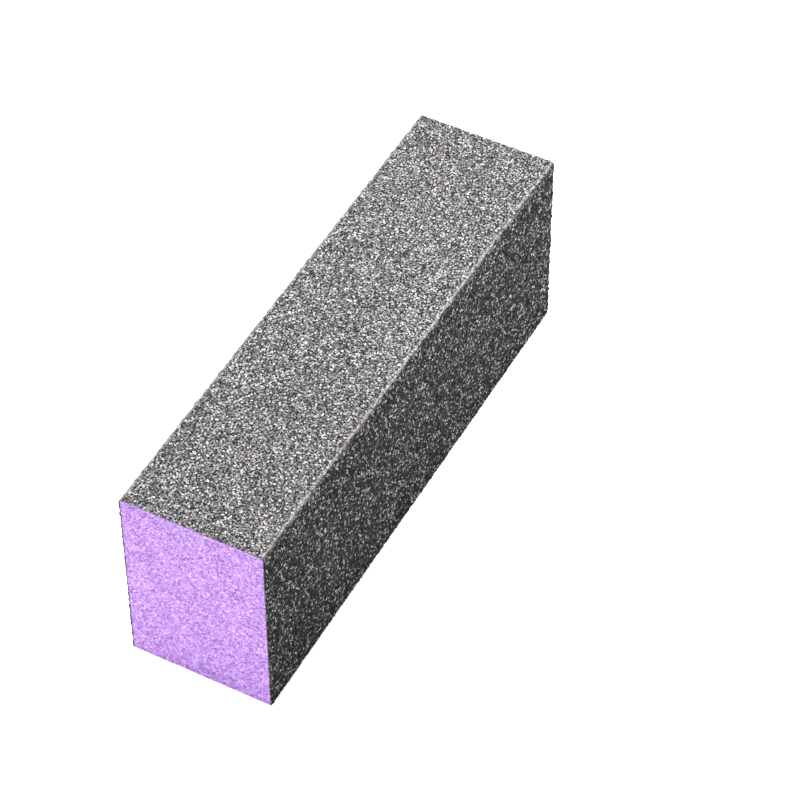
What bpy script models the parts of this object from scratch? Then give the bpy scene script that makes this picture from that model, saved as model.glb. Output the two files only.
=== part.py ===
"""A nail buffer block: a bar of firm foam with abrasive grain bonded to its top and to both long sides.

The bar lies along X and stands on its narrow bare side. Its underside and both ends are bare foam, as sawn.
Each coated face has a film of bonding resin on the foam and a layer of grain on the resin. The layers bend
round the two long top edges and meet there in a mitre, so each of them is a piece of its own.

Units are metres, +Z is up, and the origin is the centre of the underside.
"""

import math

import bmesh
import bpy
from mathutils import Vector

MM = 0.001

# Driving dimensions of the finished block
LENGTH = 95.0 * MM
WIDTH = 25.0 * MM
HEIGHT = 35.0 * MM
EDGE_RADIUS = 0.90 * MM

# The layers of one coated face. They are far thinner than the 0.3 mm that separate pieces usually keep
# between them, so the gap between two layers is this small.
GRIT_THICKNESS = 0.26 * MM
BOND_THICKNESS = 0.06 * MM
LAYER_GAP = 0.02 * MM

# Depths below the finished surface at which each layer starts and ends
GRIT_OUTER = 0.0
GRIT_INNER = GRIT_OUTER + GRIT_THICKNESS
BOND_OUTER = GRIT_INNER + LAYER_GAP
BOND_INNER = BOND_OUTER + BOND_THICKNESS
FOAM_OUTER = BOND_INNER + LAYER_GAP

# Centre of the round along the +Y top edge, which every layer shares
EDGE_CENTRE_Y = WIDTH / 2 - EDGE_RADIUS
EDGE_CENTRE_Z = HEIGHT - EDGE_RADIUS

QUARTER_TURN = math.pi / 2
MITRE = QUARTER_TURN / 2
ARC_STEPS = 6
CREASE_ANGLE = math.radians(30)

# Finish name: (colour, roughness)
FINISHES = {
    "foam": ((0.62, 0.36, 0.90), 0.90),
    "bond_resin": ((0.05, 0.05, 0.06), 0.45),
    "top_grit": ((0.26, 0.25, 0.26), 0.60),
    "side_grit": ((0.08, 0.08, 0.09), 0.60),
}


def clear_scene():
    """Remove every object that the file opened with."""
    for thing in list(bpy.data.objects):
        bpy.data.objects.remove(thing, do_unlink=True)


def finish(name):
    """The named finish as a material, made when it is first asked for."""
    material = bpy.data.materials.get(name)
    if material is None:
        colour, roughness = FINISHES[name]
        material = bpy.data.materials.new(name)
        material.use_nodes = True
        shader = material.node_tree.nodes["Principled BSDF"]
        shader.inputs["Base Color"].default_value = (*colour, 1.0)
        shader.inputs["Roughness"].default_value = roughness
        shader.inputs["Metallic"].default_value = 0.0
    return material


def edge_arc(depth, start, end):
    """Points (y, z) of the round along the +Y top edge, at a depth below the surface.

    The angles run from 0, facing +Y, to a quarter turn, facing up, and both ends are included.
    """
    radius = EDGE_RADIUS - depth
    turn = (end - start) / ARC_STEPS
    angles = [start + turn * i for i in range(ARC_STEPS + 1)]
    return [(EDGE_CENTRE_Y + radius * math.cos(a), EDGE_CENTRE_Z + radius * math.sin(a)) for a in angles]


def half_gap(depth):
    """Angle that takes up half of the gap at the mitre, at a depth below the surface."""
    return math.asin(LAYER_GAP / 2 / (EDGE_RADIUS - depth))


def mirrored(points):
    """The points on the -Y side, in the opposite order."""
    return [(-y, z) for y, z in reversed(points)]


def foam_outline():
    """Cross-section of the foam: flat below, with both top edges rounded."""
    right = [(WIDTH / 2 - FOAM_OUTER, 0.0)] + edge_arc(FOAM_OUTER, 0.0, QUARTER_TURN)
    return right + mirrored(right)


def top_outline(outer, inner):
    """Cross-section of a layer on the top, from the mitre of one round to the mitre of the other."""
    outside = edge_arc(outer, MITRE + half_gap(outer), QUARTER_TURN)
    inside = edge_arc(inner, QUARTER_TURN, MITRE + half_gap(inner))
    return outside + mirrored(outside) + mirrored(inside) + inside


def side_outline(outer, inner, side):
    """Cross-section of a layer on a long side, where side is 1 for the +Y face and -1 for the -Y face."""
    outside = [(WIDTH / 2 - outer, 0.0)] + edge_arc(outer, 0.0, MITRE - half_gap(outer))
    inside = edge_arc(inner, MITRE - half_gap(inner), 0.0) + [(WIDTH / 2 - inner, 0.0)]
    return [(side * y, z) for y, z in outside + inside]


def bar(name, outline, finish_name):
    """One closed solid: a cross-section extruded along the block's whole length."""
    shape = bmesh.new()
    ring = [shape.verts.new((-LENGTH / 2, y, z)) for y, z in outline]
    end_face = shape.faces.new(ring)
    grown = bmesh.ops.extrude_face_region(shape, geom=[end_face])
    far_end = [item for item in grown["geom"] if isinstance(item, bmesh.types.BMVert)]
    bmesh.ops.translate(shape, vec=Vector((LENGTH, 0.0, 0.0)), verts=far_end)
    bmesh.ops.recalc_face_normals(shape, faces=shape.faces)
    mesh = bpy.data.meshes.new(name)
    shape.to_mesh(mesh)
    shape.free()
    mesh.shade_smooth()
    mesh.set_sharp_from_angle(angle=CREASE_ANGLE)
    mesh.materials.append(finish(finish_name))
    solid = bpy.data.objects.new(name, mesh)
    bpy.context.collection.objects.link(solid)
    return solid


def build_coat(face, grit_finish, outline):
    """The resin film and the grain layer of one face, whose outline is a function of two depths."""
    bar(f"{face}_bond_coat", outline(BOND_OUTER, BOND_INNER), "bond_resin")
    bar(f"{face}_grit_coat", outline(GRIT_OUTER, GRIT_INNER), grit_finish)


def build_block():
    """The whole block: the foam, then the coats of its three abrasive faces."""
    bar("foam_core", foam_outline(), "foam")
    build_coat("top", "top_grit", top_outline)
    for face, side in (("front", -1), ("back", 1)):
        build_coat(face, "side_grit", lambda outer, inner, side=side: side_outline(outer, inner, side))


clear_scene()
build_block()
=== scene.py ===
"""Looks of a nail buffer block: a sawn bar of purple foam with dark abrasive grain on its top and long sides.

Each coat of grain is one closed sheet of sharp facets, each resin film a thin sheet soaked into the foam, and
the foam one closed body with open cells on its three bare faces. Everything is in metres in the block's own
frame, where X runs along the block, -Y is the front and +Z is up.
"""

import logging
import math
from dataclasses import dataclass, field
from enum import Enum
from typing import Any

import bpy
import numpy as np
from mathutils import Matrix, Vector


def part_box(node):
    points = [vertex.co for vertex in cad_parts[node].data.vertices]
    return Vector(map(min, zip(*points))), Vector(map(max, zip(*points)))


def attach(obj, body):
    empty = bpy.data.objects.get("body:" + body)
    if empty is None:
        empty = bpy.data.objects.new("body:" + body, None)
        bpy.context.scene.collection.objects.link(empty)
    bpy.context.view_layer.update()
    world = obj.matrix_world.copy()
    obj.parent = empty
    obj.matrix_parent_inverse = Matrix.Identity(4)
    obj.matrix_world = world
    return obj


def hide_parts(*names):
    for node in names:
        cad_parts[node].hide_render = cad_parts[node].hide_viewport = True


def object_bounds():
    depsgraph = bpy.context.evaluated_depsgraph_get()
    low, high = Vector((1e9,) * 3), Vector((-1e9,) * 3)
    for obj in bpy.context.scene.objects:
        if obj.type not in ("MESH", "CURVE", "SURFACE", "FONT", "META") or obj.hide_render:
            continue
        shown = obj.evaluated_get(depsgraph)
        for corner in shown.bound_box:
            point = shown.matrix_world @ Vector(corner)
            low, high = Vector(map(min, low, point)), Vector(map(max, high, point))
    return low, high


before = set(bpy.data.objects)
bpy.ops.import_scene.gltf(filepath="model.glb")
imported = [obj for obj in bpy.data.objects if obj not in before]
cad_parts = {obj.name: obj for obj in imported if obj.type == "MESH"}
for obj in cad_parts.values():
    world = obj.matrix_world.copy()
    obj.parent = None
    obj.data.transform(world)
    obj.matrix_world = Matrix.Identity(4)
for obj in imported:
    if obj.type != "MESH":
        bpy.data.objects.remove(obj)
CAD_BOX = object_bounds()

MM = 0.001
Array = np.ndarray
Colour = tuple[float, float, float]

log = logging.getLogger("nail_buffer_block")


# ---------------------------------------------------------------------------------------------------------
# Shader maths
# ---------------------------------------------------------------------------------------------------------


class Field:
    """A number on a shader socket, on which maths is written as a Python expression."""

    def __init__(self, graph: "Graph", socket: bpy.types.NodeSocket) -> None:
        """Wrap a socket of a graph."""
        self.graph = graph
        self.socket = socket

    def _maths(self, operation: str, first: Any, second: Any) -> "Field":
        """Add one Math node and wrap its result."""
        node = self.graph.node("ShaderNodeMath", {"operation": operation}, {0: first, 1: second})
        return Field(self.graph, node.outputs[0])

    def __add__(self, other: Any) -> "Field":
        """self + other."""
        return self._maths("ADD", self, other)

    __radd__ = __add__

    def __sub__(self, other: Any) -> "Field":
        """self - other."""
        return self._maths("SUBTRACT", self, other)

    def __rsub__(self, other: Any) -> "Field":
        """other - self."""
        return self._maths("SUBTRACT", other, self)

    def __mul__(self, other: Any) -> "Field":
        """self * other."""
        return self._maths("MULTIPLY", self, other)

    __rmul__ = __mul__

    def step(self, low: float, high: float) -> "Field":
        """A smooth step from 0 at low to 1 at high."""
        settings = {"interpolation_type": "SMOOTHSTEP"}
        inputs = {"Value": self, "From Min": low, "From Max": high}
        node = self.graph.node("ShaderNodeMapRange", settings, inputs)
        return Field(self.graph, node.outputs["Result"])


class Graph:
    """One material's node tree, with a Principled shader at its end."""

    def __init__(self, name: str, plain: Colour) -> None:
        """Make the material.

        Args:
            name: The material's name.
            plain: Its colour where no nodes are read, as in a viewport.
        """
        self.material = bpy.data.materials.new(name)
        self.material.use_nodes = True
        self.material.diffuse_color = (*plain, 1.0)
        self.tree = self.material.node_tree
        self.shader = self.tree.nodes["Principled BSDF"]

    def node(self, kind: str, settings: dict[str, Any] | None = None,
             inputs: dict[Any, Any] | None = None) -> bpy.types.Node:
        """Add a node.

        Args:
            kind: The node's type.
            settings: Its properties, set first. The key stops is a ramp's list of (place, colour).
            inputs: For each socket's name or number, a value, a socket or a Field.

        Returns:
            The new node.
        """
        made = self.tree.nodes.new(kind)
        for key, value in (settings or {}).items():
            if key == "stops":
                self._set_stops(made.color_ramp, value)
            else:
                setattr(made, key, value)
        for key, value in (inputs or {}).items():
            self.feed(made.inputs[key], value)
        return made

    @staticmethod
    def _set_stops(ramp: bpy.types.ColorRamp, stops: list[tuple[float, Colour]]) -> None:
        """Give a ramp its stops, from left to right."""
        while len(ramp.elements) > 1:
            ramp.elements.remove(ramp.elements[-1])
        ramp.elements[0].position = stops[0][0]
        ramp.elements[0].color = (*stops[0][1], 1.0)
        for place, colour in stops[1:]:
            ramp.elements.new(place).color = (*colour, 1.0)

    def feed(self, socket: bpy.types.NodeSocket, value: Any) -> None:
        """Set a socket to a value, or link a socket or a Field to it."""
        if isinstance(value, Field):
            self.tree.links.new(value.socket, socket)
        elif isinstance(value, bpy.types.NodeSocket):
            self.tree.links.new(value, socket)
        elif isinstance(value, tuple) and len(value) == 3 and socket.type == "RGBA":
            socket.default_value = (*value, 1.0)
        else:
            socket.default_value = value

    def attribute(self, name: str) -> Field:
        """The mesh attribute of that name, as a number."""
        node = self.node("ShaderNodeAttribute", {"attribute_type": "GEOMETRY", "attribute_name": name})
        return Field(self, node.outputs["Fac"])

    def place(self) -> bpy.types.NodeSocket:
        """Object coordinates, in metres."""
        return self.node("ShaderNodeTexCoord").outputs["Object"]

    def noise(self, size: float, detail: float = 2.0, roughness: float = 0.5) -> Field:
        """Cloudy noise from 0 to 1 whose blotches are about size metres across."""
        inputs = {"Vector": self.place(), "Scale": 1.0 / size, "Detail": detail, "Roughness": roughness}
        return Field(self, self.node("ShaderNodeTexNoise", {}, inputs).outputs["Fac"])

    def islands(self, size: float, detail: float = 2.0) -> Field:
        """Noise pushed towards 0 and 1, so that it makes islands with soft shores."""
        return self.noise(size, detail).step(0.35, 0.65)

    def blend(self, share: Any, first: Any, second: Any) -> bpy.types.NodeSocket:
        """A colour between two colours, by a share from 0 to 1."""
        node = self.node("ShaderNodeMix", {"data_type": "RGBA"})
        colours = [s for s in node.inputs if s.type == "RGBA"]
        self.feed(node.inputs[0], share)
        self.feed(colours[0], first)
        self.feed(colours[1], second)
        return next(s for s in node.outputs if s.type == "RGBA")

    def ramp(self, value: Field, stops: list[tuple[float, Colour]]) -> bpy.types.NodeSocket:
        """A colour read from a ramp's stops."""
        return self.node("ShaderNodeValToRGB", {"stops": stops}, {"Fac": value}).outputs["Color"]

    def bump(self, height: Field, depth: float) -> bpy.types.NodeSocket:
        """A normal for fine relief, depth metres from its lowest to its highest point."""
        return self.node("ShaderNodeBump", {}, {"Height": height, "Distance": depth}).outputs["Normal"]

    def finish(self, colour: Any, roughness: Any, normal: Any = None, **fixed: float) -> bpy.types.Material:
        """Feed the Principled shader.

        Args:
            colour: Base colour, as a value or a socket.
            roughness: Roughness, as a value or a Field.
            normal: Normal socket, or None for the mesh's own.
            **fixed: Uniform values by socket name, with _ for a space.

        Returns:
            The finished material.
        """
        self.feed(self.shader.inputs["Base Color"], colour)
        self.feed(self.shader.inputs["Roughness"], roughness)
        if normal is not None:
            self.feed(self.shader.inputs["Normal"], normal)
        for name, value in fixed.items():
            self.shader.inputs[name.replace("_", " ")].default_value = value
        return self.material


# ---------------------------------------------------------------------------------------------------------
# Finishes
# ---------------------------------------------------------------------------------------------------------


@dataclass(frozen=True)
class GrainFinish:
    """Silicon carbide grain in dark resin, each grain with a tone of its own, dusty where an edge is worn.

    The tones are stops of (level, brightness), worn is the brightness of rubbed grain and resin that of the
    gaps, darker than the resin itself: painted shade. The level is a grain's tone, changed by wide blotches
    and fine specks, and the palest stops stand in for glints: painted highlights. Gaps start and are full at
    two values of the attribute hollow, so recessed facets turn dark, partly the resin between grains and
    partly painted shade in the recesses. The palest grains, from glint_start on, have a glossy coat.
    """

    name: str
    tones: tuple[tuple[float, float], ...]
    worn: float
    resin: float = 0.008
    warm: Colour = (1.06, 1.0, 0.97)
    cool: Colour = (0.99, 0.98, 1.06)
    hue_patch: float = 0.9 * MM
    blotch: float = 4.0 * MM
    blotch_share: float = 0.08
    speck: float = 0.15 * MM
    speck_share: float = 0.50
    scuff: float = 0.6 * MM
    gap_shade_start: float = 0.40
    gap_shade_full: float = 0.80
    glint_start: float = 0.80

    @staticmethod
    def shade(tint: Colour, brightness: float) -> Colour:
        """A tint at a brightness."""
        return tuple(brightness * part for part in tint)

    def build(self) -> bpy.types.Material:
        """The finish, from the attributes tone, hollow and rub of its mesh."""
        g = Graph(self.name, self.shade(self.warm, self.tones[2][1]))
        tone = g.attribute("tone")
        rub = g.attribute("rub").step(0.0, 0.7) * g.islands(self.scuff, detail=3.0)
        blotches = g.noise(self.blotch, detail=3.0)
        specks = g.noise(self.speck, detail=1.0)
        level = tone + self.blotch_share * (blotches - 0.5) + self.speck_share * (specks - 0.5)
        # The palest stops of the tones are painted glints; the rest is the grains' own tone.
        warm, cool = (g.ramp(level, [(place, self.shade(tint, bright)) for place, bright in self.tones])
                      for tint in (self.warm, self.cool))
        grain = g.blend(g.islands(self.hue_patch, detail=3.0), warm, cool)
        # Painted shade: recessed facets are darkened towards the gap colour, partly the dark resin between
        # grains and partly shade painted into the recesses, less so where the edge is worn.
        gap = g.attribute("hollow").step(self.gap_shade_start, self.gap_shade_full) * (1.0 - 0.6 * rub)
        colour = g.blend(gap, grain, self.shade(self.cool, self.resin))
        colour = g.blend(0.7 * rub * (0.4 + specks), colour, self.shade(self.warm, self.worn))
        glint = tone.step(self.glint_start, 1.0) * (1.0 - gap) * (1.0 - rub)
        g.feed(g.shader.inputs["Coat Weight"], glint)
        return g.finish(colour, 0.90 - 0.30 * tone, Specular_IOR_Level=0.06, Coat_Roughness=0.25)


@dataclass(frozen=True)
class ResinFinish:
    """Cured bonding resin, black and a little glossy, dull and purple where it has soaked into the foam."""

    name: str = "cured bonding resin"
    colour: Colour = (0.030, 0.022, 0.040)
    stained: Colour = (0.160, 0.090, 0.230)
    soak_patch: float = 0.35 * MM
    ripple: float = 0.2 * MM
    ripple_depth: float = 0.03 * MM

    def build(self) -> bpy.types.Material:
        """The finish."""
        g = Graph(self.name, self.colour)
        soak = g.islands(self.soak_patch)
        colour = g.blend(soak, self.colour, self.stained)
        return g.finish(colour, 0.38 + 0.30 * soak, g.bump(g.noise(self.ripple), self.ripple_depth))


@dataclass(frozen=True)
class FoamFinish:
    """Purple foam, as sawn: pale glossy walls round cells darkened partly by tone and partly by painted shade.
    """

    name: str = "sawn purple foam"
    # The palest stop is painted sparkle highlights, and the darkest stops are reached partly by painted shade
    # in the cells.
    pit: Colour = (0.23, 0.095, 0.43)
    deep: Colour = (0.38, 0.185, 0.62)
    body: Colour = (0.53, 0.290, 0.79)
    wall: Colour = (0.68, 0.415, 0.89)
    painted_sparkle: Colour = (0.92, 0.680, 0.98)
    cell_wall: float = 0.16 * MM
    wall_relief: float = 0.08 * MM
    cloud_size: float = 6.0 * MM

    def build(self) -> bpy.types.Material:
        """The finish, from the attributes tone and hollow of its mesh."""
        g = Graph(self.name, self.body)
        tone, hollow = g.attribute("tone"), g.attribute("hollow")
        fine = g.noise(self.cell_wall, roughness=0.6)
        cloud = g.noise(self.cloud_size)
        # Painted shade: the level drops with the attribute hollow, so the deeper points of the cells are
        # darker.
        level = 0.10 + 1.05 * tone - 0.35 * hollow + 0.70 * (fine - 0.5) + 0.14 * (cloud - 0.5)
        stops = [(0.05, self.pit), (0.28, self.deep), (0.50, self.body), (0.72, self.wall), (0.98, self.painted_sparkle)]
        relief = g.bump(fine, self.wall_relief)
        return g.finish(g.ramp(level, stops), 0.75 - 0.25 * fine, relief, Specular_IOR_Level=0.4)


@dataclass(frozen=True)
class TableFinish:
    """Matt white light table, which glows a little."""

    name: str = "white light table"
    colour: Colour = (0.93, 0.93, 0.93)
    scuffed: Colour = (0.95, 0.95, 0.95)
    scuff: float = 0.12
    glow: float = 0.46

    def build(self) -> bpy.types.Material:
        """The finish."""
        g = Graph(self.name, self.colour)
        worn = g.noise(self.scuff)
        colour = g.blend(0.5 * worn, self.colour, self.scuffed)
        g.feed(g.shader.inputs["Emission Color"], (1.0, 1.0, 1.0))
        return g.finish(colour, 0.75 + 0.1 * worn, Specular_IOR_Level=0.2, Emission_Strength=self.glow)


# ---------------------------------------------------------------------------------------------------------
# Sizes and surfaces
# ---------------------------------------------------------------------------------------------------------


@dataclass(frozen=True)
class BlockSizes:
    """The finished block's sizes, and the line that its coated surface follows across it."""

    length: float
    width: float
    height: float
    foam_depth: float
    bond_depth: float
    edge_radius: float = 0.90 * MM
    layer_gap: float = 0.02 * MM

    @classmethod
    def from_frame(cls) -> "BlockSizes":
        """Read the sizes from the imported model."""
        (low_x, low_y, _), (high_x, high_y, high_z) = CAD_BOX
        return cls(
            length=high_x - low_x,
            width=high_y - low_y,
            height=high_z,
            foam_depth=high_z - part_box("foam_core")[1].z,
            bond_depth=high_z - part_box("top_bond_coat")[1].z,
        )

    @property
    def side_run(self) -> float:
        """Height of the flat part of a side."""
        return self.height - self.edge_radius

    @property
    def top_run(self) -> float:
        """Width of the flat part of the top."""
        return self.width - 2 * self.edge_radius

    @property
    def quarter(self) -> float:
        """Length of the round at a top edge."""
        return self.edge_radius * math.pi / 2

    @property
    def line_length(self) -> float:
        """Length of the whole line: up the front, over the top and down the back."""
        return 2 * self.side_run + self.top_run + 2 * self.quarter

    def turned(self, run: Array) -> Array:
        """Angle of the surface's normal from +Z at a distance along the line.

        It is minus a quarter turn on the front, 0 on the top and a quarter turn on the back, and it grows
        evenly over each round.
        """
        first = np.clip(run - self.side_run, 0, self.quarter)
        second = np.clip(run - self.side_run - self.quarter - self.top_run, 0, self.quarter)
        return -math.pi / 2 + (first + second) / self.edge_radius

    def place(self, run: Array, depth: Array, along: Array) -> Array:
        """Points of the coats.

        A point is the centre of the round nearest to it, plus the round's radius less the depth along the
        surface's normal. On the flats the centre slides along with the point.

        Args:
            run: Distance along the line, from the front's lower edge over the top to the back's lower edge.
            depth: Depth below the finished surface.
            along: Place along the block.

        Returns:
            An array of points with x, y and z last.
        """
        turn = self.turned(run)
        reach = self.edge_radius - depth
        over = np.clip(run - self.side_run - self.quarter, 0, self.top_run)
        down = np.clip(run - self.line_length + self.side_run, 0, None)
        y = over - self.top_run / 2 + reach * np.sin(turn)
        z = np.clip(run, 0, self.side_run) - down + reach * np.cos(turn)
        return np.stack([along + np.zeros_like(y), y, z], axis=-1)


class Side(Enum):
    """The three abrasive faces, with the seed of their grain."""

    FRONT = 11
    TOP = 12
    BACK = 13

    @property
    def label(self) -> str:
        """The face's name in node names."""
        return self.name.lower()

    def span(self, sizes: BlockSizes) -> tuple[float, float]:
        """Where the face's coats start and end along the line, between the mitres of the two rounds."""
        mitre = sizes.quarter / 2
        low = sizes.side_run + mitre
        high = sizes.line_length - low
        return {"FRONT": (0.0, low), "TOP": (low, high), "BACK": (high, sizes.line_length)}[self.name]


def make_mesh(name: str, points: Array, loops: list[Array]) -> bpy.types.Object:
    """Put points and faces into a new object at the origin.

    Args:
        name: The object's name.
        points: Points, with x, y and z last.
        loops: Arrays of point numbers; each row of an array is one face.

    Returns:
        The object, linked to the scene.
    """
    corners = np.concatenate([rows.ravel() for rows in loops]).astype(np.int32)
    counts = np.concatenate([np.full(len(rows), rows.shape[1]) for rows in loops])
    starts = np.concatenate([[0], np.cumsum(counts)[:-1]]).astype(np.int32)
    mesh = bpy.data.meshes.new(name)
    mesh.vertices.add(len(points))
    mesh.vertices.foreach_set("co", points.astype(np.float32).ravel())
    mesh.loops.add(len(corners))
    mesh.loops.foreach_set("vertex_index", corners)
    mesh.polygons.add(len(counts))
    mesh.polygons.foreach_set("loop_start", starts)
    mesh.update(calc_edges=True)
    mesh.validate()
    piece = bpy.data.objects.new(name, mesh)
    bpy.context.scene.collection.objects.link(piece)
    return piece


def store(piece: bpy.types.Object, name: str, domain: str, values: Array) -> None:
    """Store a number for each point or face of a piece as an attribute."""
    layer = piece.data.attributes.new(name, "FLOAT", domain)
    layer.data.foreach_set("value", values.astype(np.float32).ravel())


def grid_quads(rows: int, columns: int) -> Array:
    """Faces of a grid whose points are numbered row by row, turning from rows towards columns."""
    number = np.arange(rows * columns).reshape(rows, columns)
    corners = [number[:-1, :-1], number[1:, :-1], number[1:, 1:], number[:-1, 1:]]
    return np.stack(corners, axis=-1).reshape(-1, 4)


def split_quads(quads: Array, rng: np.random.Generator) -> Array:
    """Cut each face with four corners into two triangles, along one diagonal or the other at random."""
    turned = np.where(rng.random(len(quads))[:, None] < 0.5, quads, np.roll(quads, 1, axis=1))
    return np.stack([turned[:, [0, 1, 2]], turned[:, [0, 2, 3]]], axis=1).reshape(-1, 3)


def ease_slopes(height: Array, a: Array, b: Array, steepest: Array | float, passes: int = 80,
                give: float = 0.27) -> Array:
    """Lower the steepest steps of a height field.

    Where two neighbours differ by more than the steepest slope times their distance, both move towards
    each other by a share of what is too much, and this is repeated.

    Args:
        height: Heights on a grid.
        a: First coordinate of the points, which grows from row to row.
        b: Their second coordinate, which grows from column to column.
        steepest: Greatest slope, as one number or one for each point.
        passes: How often this is repeated.
        give: The share by which each of the two moves.

    Returns:
        The eased heights.
    """
    eased = height.copy()
    limits = np.broadcast_to(steepest, height.shape)
    most = [np.diff(place, axis=axis) * np.minimum(*[np.delete(limits, end, axis=axis) for end in (0, -1)])
            for axis, place in enumerate((a, b))]
    for _ in range(passes):
        for axis, limit in enumerate(most):
            rise = np.diff(eased, axis=axis)
            excess = give * (rise - np.clip(rise, -limit, limit))
            pads = [[(1, 0) if a == axis else (0, 0) for a in (0, 1)],
                    [(0, 1) if a == axis else (0, 0) for a in (0, 1)]]
            eased = eased - np.pad(excess, pads[0]) + np.pad(excess, pads[1])
    return eased


def near_average(values: Array) -> Array:
    """Each value averaged with its eight neighbours on the grid."""
    padded = np.pad(values, 1, mode="edge")
    rows = padded[:-2] + padded[1:-1] + padded[2:]
    return (rows[:, :-2] + rows[:, 1:-1] + rows[:, 2:]) / 9


@dataclass
class Scatter:
    """Grains or cells strewn over a surface, each point of which belongs to the nearest one."""

    number: Array
    inside: Array
    offset: Array
    count: int

    @classmethod
    def strew(cls, rng: np.random.Generator, a: Array, b: Array, spacing: float) -> "Scatter":
        """Put one centre anywhere in each square of a wide grid, and find the two nearest to each point.

        Args:
            rng: Source of chance.
            a: First coordinate of the points.
            b: Their second coordinate.
            spacing: Side of a square.

        Returns:
            For each point the number of the nearest centre, how far inside that grain or cell it lies, which
            is the second distance less the first over the spacing, and its offset from the centre.
        """
        shape = tuple(int(np.ptp(part) / spacing) + 4 for part in (a, b))
        origin = (a.min(), b.min())
        centres = (np.indices(shape) - 1 + rng.random((2, *shape))) * spacing
        row, column = (np.floor((part - low) / spacing).astype(int) + 1 for part, low in zip((a, b), origin))
        nearest = np.full(a.shape, np.inf)
        second = np.full(a.shape, np.inf)
        number = np.zeros(a.shape, int)
        offset = np.zeros((2, *a.shape))
        for down in (-1, 0, 1):
            for right in (-1, 0, 1):
                place = (row + down, column + right)
                away = np.stack([a - origin[0] - centres[0][place], b - origin[1] - centres[1][place]])
                distance = np.hypot(*away)
                closer = distance < nearest
                second = np.where(closer, nearest, np.minimum(second, distance))
                nearest = np.where(closer, distance, nearest)
                number = np.where(closer, place[0] * shape[1] + place[1], number)
                offset = np.where(closer, away, offset)
        return cls(number, (second - nearest) / spacing, offset, shape[0] * shape[1])


# ---------------------------------------------------------------------------------------------------------
# Pieces
# ---------------------------------------------------------------------------------------------------------


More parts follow.
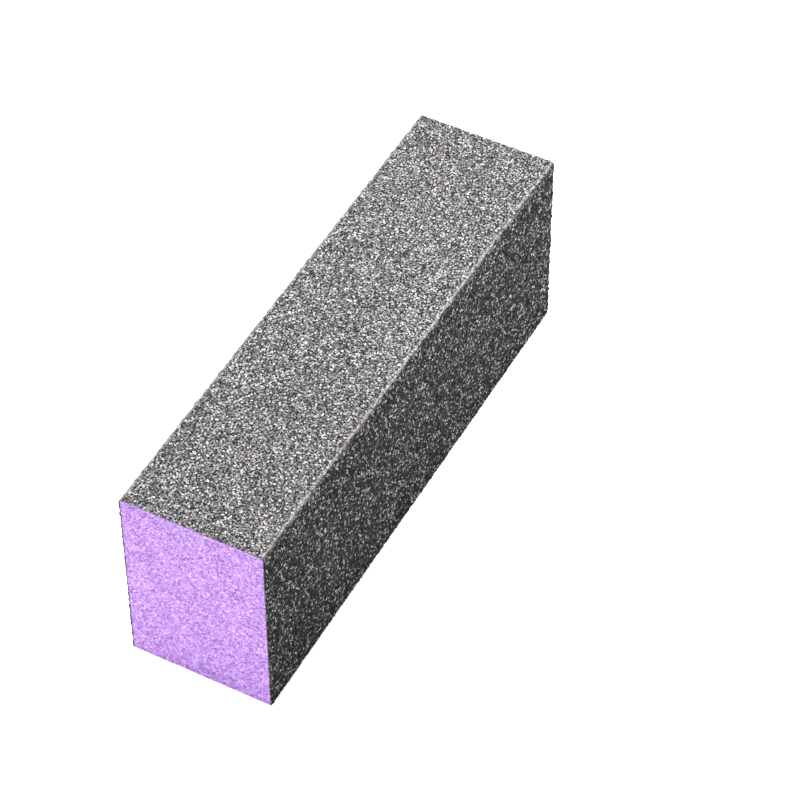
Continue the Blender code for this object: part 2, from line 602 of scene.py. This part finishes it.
@dataclass
class GritCoat:
    """One face's layer of abrasive grain: a closed sheet of sharp facets, about one step to a grain.

    Its fields are the step of the grid, the spacing of the grains, the height from the deepest gap to the
    tallest grain, the share of tall grains and how much taller they are, how far a grain's top leans, how wide
    and how deep the gaps between grains are, the spacing and the share of the clumps left along the rims, the
    greatest slope, how far the ends draw back, and how far a point may shift, in steps of the grid.
    """

    sizes: BlockSizes
    side: Side
    finish: GrainFinish
    pitch: float = 0.16 * MM
    grain: float = 0.18 * MM
    relief: float = 0.24 * MM
    tall: float = 0.14
    taller: float = 0.55
    tilt: float = 0.9
    gap_width: float = 0.45
    gap_drop: float = 0.6
    clump: float = 0.50 * MM
    clump_share: float = 0.4
    steepest: float = 0.62
    ragged: float = 0.18 * MM
    jitter: float = 0.2

    def grid(self) -> tuple[Array, Array]:
        """Evenly spaced places along the line and along the block."""
        start, end = self.side.span(self.sizes)
        half = self.sizes.length / 2
        across = np.linspace(start, end, round((end - start) / self.pitch) + 1)
        return across, np.linspace(-half, half, round(2 * half / self.pitch) + 1)

    def depths(self, rng: np.random.Generator, run: Array, place: Array, grains: Scatter,
               lean: Array) -> Array:
        """Depth of each point below the tallest grains.

        A grain's top is a plane that leans its own way, at a height of its own, and the surface falls to the
        gap where the next grain is as near. A few grains stand taller. Along the ends and over the rounds,
        where grains break off, they are left in clumps. A wider average makes low and high patches. Slopes
        are eased to well under 45 degrees, and to less over the rounds.

        Args:
            rng: Source of chance.
            run: Distance of each point along the line.
            place: Place of each point along the block.
            grains: The grains and which of them each point belongs to.
            lean: How far round a top edge each row lies, from 0 on the flat to 1 at the mitre.

        Returns:
            Depths in metres.
        """
        tall = rng.random(grains.count) < self.tall
        lift = ((1 - self.taller) * rng.random(grains.count) + self.taller * tall)[grains.number]
        clumps = Scatter.strew(rng, run, place, self.clump)
        left = (rng.random(clumps.count) < self.clump_share)[clumps.number]
        rim = (lean[:, None] > 0.15) | (np.abs(place) > self.sizes.length / 2 - 2.5 * self.pitch)
        lift = np.where(rim, 0.85 * left + 0.15 * lift, lift)
        tilt = rng.uniform(-self.tilt, self.tilt, (2, grains.count))[:, grains.number]
        top = 0.25 + 0.75 * lift + (tilt * grains.offset).sum(axis=0) / self.relief
        gap = 1 - np.clip(grains.inside / self.gap_width, 0, 1)
        patches = near_average(near_average(rng.random(lift.shape)))
        height = np.clip(top - self.gap_drop * gap + 0.3 * (patches - 0.5), 0, 1)
        steepest = self.steepest * (1 - 0.75 * lean)[:, None]
        return ease_slopes(self.relief * (1 - height), run, place, steepest)

    def spread(self, rng: np.random.Generator, across: Array, along: Array) -> tuple[Array, Array]:
        """Places of the outer grid's points along the line and along the block.

        Each point is shifted a little, and the borders keep to their lines. The last columns at both ends draw
        back by an amount that differs from row to row, which makes the ends ragged.
        """
        steps = (across[1] - across[0], along[1] - along[0])
        shift = rng.uniform(-self.jitter, self.jitter, (2, len(across), len(along)))
        shift[0, [0, -1], :] = 0
        shift[1][:, [0, -1]] = 0
        fading = np.array([1.0, 0.75, 0.5, 0.25])
        broken = rng.uniform(0, self.ragged / steps[1], (2, len(across), 1)) * fading
        shift[1][:, :len(fading)] += broken[0]
        shift[1][:, -len(fading):] -= broken[1][:, ::-1]
        return across[:, None] + shift[0] * steps[0], along[None, :] + shift[1] * steps[1]

    @staticmethod
    def closing_faces(number: Array, inner: Array, border: Array) -> list[Array]:
        """Faces that close the sheet behind its outer grid.

        Walls close the ends and the long borders. The inner side is a row of strips from one end to the
        other, of which the first and the last take in the points of the long borders.

        Args:
            number: Numbers of the outer grid's points.
            inner: Numbers of the inner points at the two ends, row by row.
            border: Numbers of the inner points along the two long borders, between the ends.

        Returns:
            Arrays of point numbers, with the walls of the two ends first.
        """
        low, high = (np.concatenate([inner[:1, row], border[row], inner[1:, row]]) for row in (0, -1))
        left_end = np.stack([number[:-1, 0], number[1:, 0], inner[0, 1:], inner[0, :-1]], axis=-1)
        right_end = np.stack([number[1:, -1], number[:-1, -1], inner[1, :-1], inner[1, 1:]], axis=-1)
        low_wall = np.stack([number[0, 1:], number[0, :-1], low[:-1], low[1:]], axis=-1)
        high_wall = np.stack([number[-1, :-1], number[-1, 1:], high[1:], high[:-1]], axis=-1)
        strips = np.stack([inner[0, 1:-2], inner[0, 2:-1], inner[1, 2:-1], inner[1, 1:-2]], axis=-1)
        low_strip = np.concatenate([low[::-1], inner[:, 1]])[None, :]
        high_strip = np.concatenate([high, inner[::-1, -2]])[None, :]
        return [left_end, right_end, low_wall, high_wall, strips, low_strip, high_strip]

    def build(self) -> bpy.types.Object:
        """The coat's mesh, dressed, riding and standing for its CAD node.

        The outer grid follows the finished surface less the depths. The inner side lies at an even depth, and
        at each end it starts a little way in.
        """
        rng = np.random.default_rng(self.side.value)
        across, along = self.grid()
        rows, columns = len(across), len(along)
        run, place = self.spread(rng, across, along)
        grains = Scatter.strew(rng, run, place, self.grain)
        lean = 1 - np.abs(np.abs(self.sizes.turned(across)) - math.pi / 4) / (math.pi / 4)
        depth = self.depths(rng, run, place, grains, lean)
        outer = self.sizes.place(run, depth, place)
        half = self.sizes.length / 2
        inset = rng.uniform(0.02, 0.08, (2, rows)) * MM
        bottom = self.sizes.bond_depth - self.sizes.layer_gap
        left = self.sizes.place(across, bottom, -half + inset[0])
        right = self.sizes.place(across, bottom, half - inset[1])
        between = along[1:-1]
        low, high = (self.sizes.place(np.full(columns - 2, line), bottom, between) for line in across[[0, -1]])
        points = np.concatenate([outer.reshape(-1, 3), left, right, low, high])
        number = np.arange(rows * columns).reshape(rows, columns)
        inner = rows * columns + np.arange(2 * rows).reshape(2, rows)
        border = rows * (columns + 2) + np.arange(2 * (columns - 2)).reshape(2, columns - 2)
        facets = split_quads(grid_quads(rows, columns)[:, ::-1], rng)
        loops = [facets, *self.closing_faces(number, inner, border)]
        piece = make_mesh(f"{self.side.label}_abrasive_grain", points, loops)
        ends = np.concatenate([number[:-1, 0], number[1:, -1]])
        self.mark(piece, rng, grains, facets, ends, depth, lean)
        piece.data.materials.append(self.finish.build())
        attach(piece, "root")
        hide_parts(f"{self.side.label}_grit_coat")
        return piece

    def mark(self, piece: bpy.types.Object, rng: np.random.Generator, grains: Scatter, facets: Array,
             ends: Array, depth: Array, lean: Array) -> None:
        """Store each face's tone, hollow and rub.

        A facet takes its tone from the grain of its highest point, so that a grain's facets match, and a
        little chance of its own. Its hollow is how far it lies below the average around it, from 0 on a
        crest to 1 in a gap, by which the finish darkens the gaps, partly as painted shade. Its rub is how far
        round a top edge it lies. An end's face takes the tone of the grain above it.
        """
        deep = depth.ravel()
        owner = grains.number.ravel()
        tones = rng.random(grains.count)
        highest = facets[np.arange(len(facets)), np.argmin(deep[facets], axis=1)]
        tone = np.concatenate([tones[owner[highest]], tones[owner[ends]]])
        tone = np.clip(tone + 0.09 * rng.standard_normal(len(tone)), 0, 1)
        below = (depth - near_average(depth)).ravel()[facets].mean(axis=1) / self.relief
        hollow = np.clip(0.5 + 3.4 * below, 0, 1)
        rub = np.repeat(lean, depth.shape[1])[facets].mean(axis=1)
        rest = len(piece.data.polygons) - len(tone)
        past_facets = len(ends) + rest
        store(piece, "tone", "FACE", np.concatenate([tone, np.full(rest, 0.4)]))
        store(piece, "hollow", "FACE", np.concatenate([hollow, np.full(past_facets, 0.3)]))
        store(piece, "rub", "FACE", np.concatenate([rub, np.zeros(past_facets)]))


@dataclass
class ResinFilm:
    """One face's film of bonding resin, a closed sheet whose inner side soaks unevenly into the foam."""

    sizes: BlockSizes
    side: Side
    finish: ResinFinish
    pitch: float = 0.16 * MM
    soak: float = 0.15 * MM

    def build(self) -> bpy.types.Object:
        """The film's mesh, dressed, riding and standing for its CAD node."""
        rng = np.random.default_rng(100 + self.side.value)
        start, end = self.side.span(self.sizes)
        across = np.linspace(start, end, round((end - start) / self.pitch) + 1)
        half = self.sizes.length / 2
        near = np.array([0.06, 0.4, 1.0]) * MM
        along = np.concatenate([-half + near, half - near[::-1]])
        run, place = np.meshgrid(across, along, indexing="ij")
        outer = self.sizes.place(run, self.sizes.bond_depth, place)
        deeper = self.soak * rng.random(run.shape) ** 2
        deeper[:, 2:-2] = 0
        inner = self.sizes.place(run, self.sizes.foam_depth - self.sizes.layer_gap + deeper, place)
        rows, columns = run.shape
        quads = grid_quads(rows, columns)
        number = np.arange(rows * columns).reshape(rows, columns)
        rim = np.concatenate([number[0, :-1], number[:-1, -1], number[-1, :0:-1], number[:0:-1, 0]])
        following = np.roll(rim, -1)
        count = rows * columns
        walls = np.stack([rim, following, following + count, rim + count], axis=-1)
        points = np.concatenate([outer.reshape(-1, 3), inner.reshape(-1, 3)])
        loops = [quads[:, ::-1], quads + count, walls[:, ::-1]]
        piece = make_mesh(f"{self.side.label}_bonding_resin", points, loops)
        piece.data.materials.append(self.finish.build())
        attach(piece, "root")
        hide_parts(f"{self.side.label}_bond_coat")
        return piece


@dataclass
class FoamCore:
    """The sawn foam bar: one closed body with open cells on its ends and underside."""

    sizes: BlockSizes
    finish: FoamFinish
    cell: float = 0.24 * MM
    across_steps: int = 150
    up_steps: int = 215
    along_steps: int = 200
    pit: float = 0.15 * MM
    end_inset: float = 0.02 * MM

    def pits(self, rng: np.random.Generator, a: Array, b: Array) -> tuple[Array, Array]:
        """Depth of the open cells on a sawn face, and the tone of its points.

        A cell is deepest at its middle and rises to a wall where the next cell is as near. Each has a depth
        and a tone of its own, and slopes are eased to less than 45 degrees.
        """
        cells = Scatter.strew(rng, a, b, self.cell)
        own = rng.random(cells.count)[cells.number]
        inside = np.clip(cells.inside / 0.6, 0, 1)
        depth = self.pit * np.clip((0.35 + 0.65 * own) * inside + 0.3 * rng.random(own.shape), 0, 1)
        tone = 0.75 * rng.random(cells.count)[cells.number] + 0.25 * rng.random(own.shape)
        return ease_slopes(depth, a, b, 0.8), tone

    def build(self) -> bpy.types.Object:
        """The foam's mesh, dressed, riding and standing for its CAD node.

        The ends are grids over the width and the height, and the underside is a grid over the length and the
        width. They share the points of their common edges. The glued faces have nothing to show, so each is
        a row of strips from one end to the other, and the lowest strip takes in the underside's edge.
        """
        rng = np.random.default_rng(21)
        half_length = self.sizes.length / 2 - self.end_inset
        half_width = self.sizes.width / 2 - self.sizes.foam_depth
        top = self.sizes.height - self.sizes.foam_depth
        y = np.linspace(-half_width, half_width, self.across_steps + 1)
        z = np.linspace(0, top, self.up_steps + 1)
        x = np.linspace(-half_length, half_length, self.along_steps + 1)
        end_shape = (len(y), len(z))
        across, up = np.meshgrid(y, z, indexing="ij")
        (left_pits, left_tone), (right_pits, right_tone) = (self.pits(rng, across, up) for _ in range(2))
        floor_pits, floor_tone = self.pits(rng, *np.meshgrid(x, y, indexing="ij"))
        left = self.end_points(rng, y, z, -half_length + left_pits)
        right = self.end_points(rng, y, z, half_length - right_pits)
        floor_x, floor_y = np.meshgrid(x[1:-1], y, indexing="ij")
        floor_x = floor_x + rng.uniform(-0.2, 0.2, floor_x.shape) * (x[1] - x[0])
        floor = np.stack([floor_x, floor_y, floor_pits[1:-1]], axis=-1)
        floor[:, [0, -1], 2] = 0
        points = np.concatenate([left.reshape(-1, 3), right.reshape(-1, 3), floor.reshape(-1, 3)])
        end_count = len(y) * len(z)
        left_no = np.arange(end_count).reshape(end_shape)
        right_no = left_no + end_count
        floor_no = 2 * end_count + np.arange(floor_x.size).reshape(floor_x.shape)
        under_no = np.concatenate([left_no[None, :, 0], floor_no, right_no[None, :, 0]])
        ends = grid_quads(*end_shape)
        under = under_no.ravel()[grid_quads(*under_no.shape)]
        round_line = [(left_no[0, 1:], right_no[0, 1:]), (left_no[:, -1], right_no[:, -1]),
                      (left_no[-1, :0:-1], right_no[-1, :0:-1])]
        strips = [np.stack([a[:-1], b[:-1], b[1:], a[1:]], axis=-1) for a, b in round_line]
        front_low = np.concatenate([under_no[:, 0], [right_no[0, 1], left_no[0, 1]]])[None, :]
        back_low = np.concatenate([under_no[::-1, -1], [left_no[-1, 1], right_no[-1, 1]]])[None, :]
        loops = [ends[:, ::-1], ends + end_count, under[:, ::-1], *strips, front_low, back_low]
        piece = make_mesh("purple_foam_block", points, loops)
        hollow = np.concatenate([left_pits.ravel(), right_pits.ravel(), floor_pits[1:-1].ravel()]) / self.pit
        tone = np.concatenate([left_tone.ravel(), right_tone.ravel(), floor_tone[1:-1].ravel()])
        store(piece, "hollow", "POINT", np.clip(hollow, 0, 1))
        store(piece, "tone", "POINT", tone)
        piece.data.materials.append(self.finish.build())
        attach(piece, "root")
        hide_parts("foam_core")
        return piece

    def end_points(self, rng: np.random.Generator, y: Array, z: Array, x: Array) -> Array:
        """Points of a sawn end: a grid that is pulled onto the round of the two upper corners.

        A point beyond the round's centre on both sides and further from it than the corner's radius moves
        straight towards the centre until it lies on the round.
        """
        wide, high = np.meshgrid(y, z, indexing="ij")
        jitter = rng.uniform(-0.25, 0.25, (2, *wide.shape))
        jitter[:, [0, -1], :] = 0
        jitter[:, :, [0, -1]] = 0
        wide = wide + jitter[0] * (y[1] - y[0])
        high = high + jitter[1] * (z[1] - z[0])
        corner = self.sizes.edge_radius - self.sizes.foam_depth
        past_y = np.clip(np.abs(wide) - (y[-1] - corner), 0, None)
        past_z = np.clip(high - (z[-1] - corner), 0, None)
        reach = np.hypot(past_y, past_z)
        pull = np.where(reach > corner, corner / np.maximum(reach, 1e-12), 1.0)
        in_corner = (past_y > 0) & (past_z > 0)
        pull = np.where(in_corner, pull, 1.0)
        wide = np.sign(wide) * (np.abs(wide) - past_y * (1 - pull))
        high = high - past_z * (1 - pull)
        return np.stack([x, wide, high], axis=-1)


# ---------------------------------------------------------------------------------------------------------
# Studio
# ---------------------------------------------------------------------------------------------------------


@dataclass(frozen=True)
class SoftBox:
    """A square studio light that faces the block."""

    name: str
    turn: float
    rise: float
    distance: float
    size: float
    power: float

    def build(self, aim: Vector) -> bpy.types.Object:
        """Hang the light at its turn from the front and its rise above the table, in degrees."""
        light = bpy.data.lights.new(self.name, "AREA")
        light.shape = "SQUARE"
        light.size = self.size
        light.energy = self.power
        lamp = bpy.data.objects.new(self.name, light)
        away = direction(self.turn, self.rise)
        lamp.location = aim + self.distance * away
        lamp.rotation_euler = away.to_track_quat("Z", "Y").to_euler()
        lamp.visible_camera = False
        bpy.context.scene.collection.objects.link(lamp)
        return lamp


def direction(turn: float, rise: float) -> Vector:
    """Unit vector at a turn from the front, towards +X, and a rise above the table, in degrees."""
    round_z, up = math.radians(turn), math.radians(rise)
    return Vector((math.sin(round_z) * math.cos(up), -math.cos(round_z) * math.cos(up), math.sin(up)))


@dataclass
class Studio:
    """White table, soft boxes, a faint even light and the camera."""

    sizes: BlockSizes
    turn: float = -61.68
    rise: float = 47.32
    roll: float = -0.27
    distance: float = 510.3 * MM
    lens: float = 144.9
    sensor: float = 36.0
    aim: tuple[float, float, float] = (3.49 * MM, -7.38 * MM, 17.5 * MM)
    table_size: float = 4.0
    ambient: float = 0.16
    boxes: list[SoftBox] = field(default_factory=lambda: [
        SoftBox("overhead soft box", turn=178.0, rise=70.0, distance=0.90, size=0.45, power=7.4),
        SoftBox("back soft box", turn=100.0, rise=62.0, distance=0.40, size=0.24, power=1.7),
        SoftBox("left fill", turn=-95.0, rise=22.0, distance=0.80, size=0.50, power=2.15),
        SoftBox("right strip", turn=21.0, rise=20.0, distance=0.13, size=0.05, power=0.11),
    ])

    def build_table(self) -> bpy.types.Object:
        """The table top: a flat grid under the block."""
        edge = np.linspace(-self.table_size / 2, self.table_size / 2, 9)
        x, y = np.meshgrid(edge, edge, indexing="ij")
        points = np.stack([x, y, np.zeros_like(x)], axis=-1).reshape(-1, 3)
        table = make_mesh("studio_table", points, [grid_quads(len(edge), len(edge))])
        table.data.materials.append(TableFinish().build())
        return table

    def build_light(self) -> None:
        """The soft boxes and the even light."""
        for box in self.boxes:
            box.build(Vector((0, 0, self.sizes.height / 2)))
        world = bpy.data.worlds.new("studio air")
        world.use_nodes = True
        world.node_tree.nodes["Background"].inputs["Color"].default_value = (1.0, 1.0, 1.0, 1.0)
        world.node_tree.nodes["Background"].inputs["Strength"].default_value = self.ambient
        bpy.context.scene.world = world

    def build_camera(self) -> bpy.types.Object:
        """The camera, at its turn and rise from the aim, rolled a little."""
        data = bpy.data.cameras.new("camera")
        data.lens = self.lens
        data.sensor_width = self.sensor
        camera = bpy.data.objects.new("camera", data)
        away = direction(self.turn, self.rise)
        facing = away.to_track_quat("Z", "Y").to_matrix().to_4x4()
        roll = Matrix.Rotation(math.radians(self.roll), 4, "Z")
        camera.matrix_world = Matrix.Translation(Vector(self.aim) + self.distance * away) @ facing @ roll
        bpy.context.scene.collection.objects.link(camera)
        bpy.context.scene.camera = camera
        return camera

    def build(self) -> None:
        """The whole studio, shown without any tone curve."""
        self.build_table()
        self.build_light()
        self.build_camera()
        bpy.context.scene.view_settings.view_transform = "Standard"


def report(piece: bpy.types.Object) -> None:
    """Log a finished piece's name and size."""
    size = ", ".join(f"{1000 * side:.2f}" for side in piece.dimensions)
    log.info("%s: %d faces, %s mm", piece.name, len(piece.data.polygons), size)


def main() -> None:
    """Build the block from the inside out, then the studio."""
    logging.basicConfig(level=logging.INFO, format="%(name)s: %(message)s")
    sizes = BlockSizes.from_frame()
    report(FoamCore(sizes, FoamFinish()).build())
    # The top and the sides are one grain given lit and shaded copies: the top's tones and worn brightness are
    # painted lighter and the sides' darker, for how the light falls on them.
    lit_top_finish = GrainFinish("top grain", worn=0.40, tones=(
        (0.0, 0.025), (0.15, 0.070), (0.50, 0.180), (0.75, 0.29), (0.92, 0.42), (1.0, 0.68)))
    shaded_side_finish = GrainFinish("side grain", worn=0.18, tones=(
        (0.0, 0.0020), (0.15, 0.005), (0.50, 0.017), (0.75, 0.046), (0.92, 0.155), (1.0, 0.50)))
    for side in Side:
        report(ResinFilm(sizes, side, ResinFinish()).build())
        finish = lit_top_finish if side is Side.TOP else shaded_side_finish
        report(GritCoat(sizes, side, finish, pitch=(0.16 if side is Side.TOP else 0.19) * MM).build())
    Studio(sizes).build()


if __name__ == "__main__":
    main()
